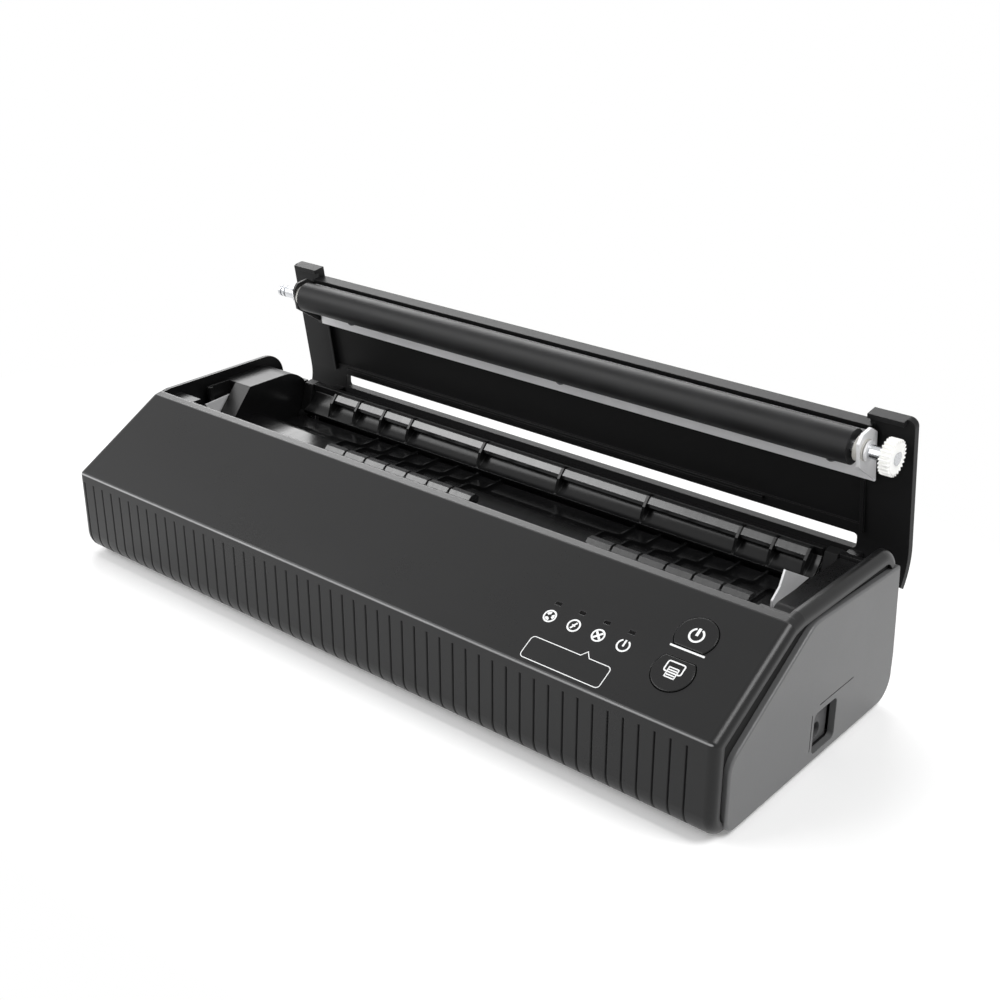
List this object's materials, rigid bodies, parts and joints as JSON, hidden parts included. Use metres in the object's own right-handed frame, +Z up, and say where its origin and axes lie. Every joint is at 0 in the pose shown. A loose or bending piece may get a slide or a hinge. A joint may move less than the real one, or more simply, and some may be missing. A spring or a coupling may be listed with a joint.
{
  "type": "thermal stencil copier",
  "caption": "Desktop thermal stencil copier: ribbed case with a sloping key panel, open hinged lid carrying a geared rubber platen roller, print head and paper guides.",
  "frame": {"origin": "centre of the open machine's footprint, level with the undersides of the four feet", "axes": "+X along the machine to the power inlet side, +Y from the ribbed front to the back, +Z up"},
  "size_m": [0.32, 0.1343, 0.1041],
  "materials": {
    "case": "fine moulded grain",
    "panel": "satin moulded",
    "lid": "satin moulded",
    "guide": "polished by paper",
    "gasket": "matt",
    "foot_rubber": "matt",
    "platen": "ground smooth",
    "bright_steel": "ground bar",
    "sheet_steel": "plated sheet",
    "spring_steel": "bright",
    "ceramic": "glazed",
    "heat_sink": "extruded",
    "acetal": "natural",
    "bush": "oiled",
    "block": "moulded",
    "key": "polished",
    "light": "clear lens",
    "board": "solder mask",
    "motor_case": "black paint",
    "sensor": "glass topped",
    "inlet": "moulded",
    "screw": "black plated"
  },
  "bodies": {
    "body": {"base_tray": "case", "top_shell": "case", "left_side_panel": "panel", "right_side_panel": "panel", "left_seal": "gasket", "right_seal": "gasket", "feet": "foot_rubber", "case_screws": "screw", "left_end_block": "block", "left_latch_plate": "spring_steel", "right_end_housing": "block", "hinge_pins": "bright_steel", "front_guide": "guide", "rear_guide": "guide", "print_head": "ceramic", "head_heat_sink": "heat_sink", "head_carrier": "sheet_steel", "image_sensor": "sensor", "main_board": "board", "key_board": "board", "indicator_lights": "light", "power_inlet": "inlet", "motor_bracket": "sheet_steel", "drive_motor": "motor_case", "right_latch_clip": "spring_steel"},
    "lid": {"lid_shell": "lid", "roller_bracket": "sheet_steel", "roller_bushes": "bush", "bracket_screws": "screw"},
    "roller": {"platen_shaft": "bright_steel", "platen_rubber": "platen", "shaft_clips": "spring_steel", "platen_gear": "acetal"},
    "power_key": {"power_button": "key"},
    "copy_key": {"copy_button": "key"},
    "idler": {"idler_gear": "acetal"},
    "output": {"output_gear": "acetal"},
    "pinion": {"motor_pinion": "acetal", "motor_shaft": "bright_steel"}
  },
  "joints": [
    {"name": "lid_hinge", "type": "hinge", "parent": "body", "child": "lid", "pos_m": [0, 0.04265, 0.0367], "axis": [1, 0, 0], "range_deg": [0, 81.4]},
    {"name": "platen_spin", "type": "hinge", "parent": "lid", "child": "roller", "pos_m": [0, 0.04802, 0.09252], "axis": [1, 0, 0], "continuous": true},
    {"name": "power_press", "type": "slide", "parent": "body", "child": "power_key", "axis": [0, 0.4917, -0.8708], "range_m": [0, 0.0008], "stiffness_N_per_m": 400, "springref_m": -0.0005},
    {"name": "copy_press", "type": "slide", "parent": "body", "child": "copy_key", "axis": [0, 0.4917, -0.8708], "range_m": [0, 0.0008], "stiffness_N_per_m": 400, "springref_m": -0.0005},
    {"name": "idler_spin", "type": "hinge", "parent": "body", "child": "idler", "pos_m": [0.151, 0.00375, 0.03166], "axis": [1, 0, 0], "continuous": true},
    {"name": "output_spin", "type": "hinge", "parent": "body", "child": "output", "pos_m": [0.151, -0.01175, 0.03655], "axis": [1, 0, 0], "continuous": true},
    {"name": "pinion_spin", "type": "hinge", "parent": "body", "child": "pinion", "pos_m": [0.151, 0.0121, 0.0217], "axis": [1, 0, 0], "continuous": true}
  ],
  "couplings": [
    {"joint": "output_spin", "follows": "idler_spin", "ratio": -1.6},
    {"joint": "pinion_spin", "follows": "idler_spin", "ratio": -3.3333}
  ]
}
